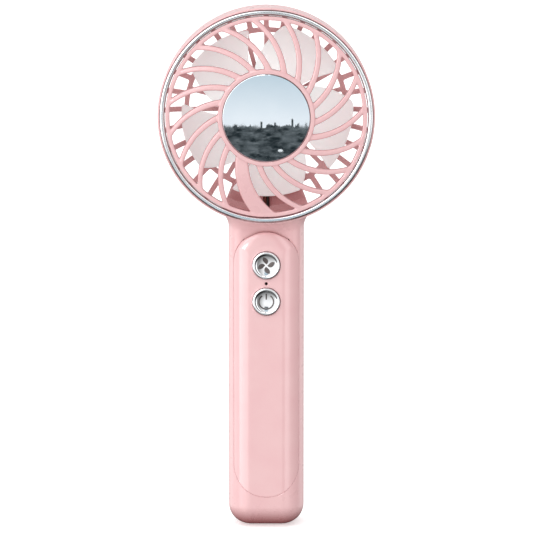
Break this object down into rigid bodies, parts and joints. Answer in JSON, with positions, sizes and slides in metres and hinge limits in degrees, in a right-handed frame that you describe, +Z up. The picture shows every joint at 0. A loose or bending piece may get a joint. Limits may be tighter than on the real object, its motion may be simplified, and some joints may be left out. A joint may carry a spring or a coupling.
{
  "type": "handheld electric fan",
  "caption": "Handheld battery fan: round guarded head with a chrome ring and a hub mirror, bladed rotor, and a straight handle with two round push buttons.",
  "frame": {"origin": "centre of the flat foot at the bottom of the handle", "axes": "+Z up along the handle to the head, -Y out of the front of the fan where the air leaves and the mirror and buttons are, +X to the right seen from the front"},
  "size_m": [0.0882, 0.0353, 0.2151],
  "materials": {
    "pink_plastic": "high gloss, pale pink",
    "pearl_plastic": "translucent pearly white with a pink tint",
    "chrome_trim": "bright plating",
    "chrome_button": "bright plating with a satin dish and grey icon",
    "mirror_glass": "flat silvered mirror",
    "foam": "adhesive foam",
    "steel": "nickel plated",
    "bronze": "sintered bronze",
    "copper": "enamelled copper winding",
    "magnet": "bonded ferrite",
    "board_green": "solder mask",
    "black_plastic": "moulded",
    "white_plastic": "moulded",
    "lens_red": "dark red light guide",
    "cell_wrap": "shrink wrap over the cell can",
    "wire_red": "insulation",
    "wire_black": "insulation"
  },
  "bodies": {
    "casing": {"battery_cell": "cell_wrap", "battery_pad": "foam", "battery_tab_negative": "steel", "battery_tab_positive": "steel", "battery_wire_black": "wire_black", "battery_wire_red": "wire_red", "board_screw_1": "steel", "board_screw_2": "steel", "case_screw_1": "steel", "case_screw_2": "steel", "case_screw_3": "steel", "case_screw_4": "steel", "charge_chip": "black_plastic", "charging_board": "board_green", "chrome_ring": "chrome_trim", "control_board": "board_green", "front_bearing": "bronze", "front_grille": "pink_plastic", "front_panel": "pink_plastic", "front_shell": "pink_plastic", "led_chip": "white_plastic", "led_lens": "lens_red", "mirror": "mirror_glass", "mirror_pad": "foam", "motor_base": "steel", "motor_board": "board_green", "motor_driver_chip": "black_plastic", "motor_screw_1": "steel", "motor_screw_2": "steel", "motor_screw_3": "steel", "motor_wire_black": "wire_black", "motor_wire_red": "wire_red", "power_inductor": "magnet", "power_switch": "steel", "rear_bearing": "bronze", "rear_hub_cap": "pink_plastic", "rear_shell": "pink_plastic", "speed_switch": "steel", "stator_coil_1": "copper", "stator_coil_2": "copper", "stator_coil_3": "copper", "stator_coil_4": "copper", "stator_coil_5": "copper", "stator_coil_6": "copper", "stator_core": "steel", "usb_socket_shell": "steel", "usb_socket_tongue": "black_plastic"},
    "rotor": {"impeller": "pearl_plastic", "rotor_cup": "steel", "rotor_magnet": "magnet", "motor_shaft": "steel", "shaft_clip": "steel"},
    "speed_button": {"speed_button": "chrome_button", "speed_switch_plunger": "black_plastic"},
    "power_button": {"power_button": "chrome_button", "power_switch_plunger": "black_plastic"}
  },
  "joints": [
    {"name": "rotor_spin", "type": "hinge", "parent": "casing", "child": "rotor", "pos_m": [0, 0, 0.171], "axis": [0, -1, 0], "continuous": true},
    {"name": "speed_button_press", "type": "slide", "parent": "casing", "child": "speed_button", "axis": [0, 1, 0], "range_m": [0, 0.0005], "stiffness_N_per_m": 800},
    {"name": "power_button_press", "type": "slide", "parent": "casing", "child": "power_button", "axis": [0, 1, 0], "range_m": [0, 0.0005], "stiffness_N_per_m": 800}
  ]
}
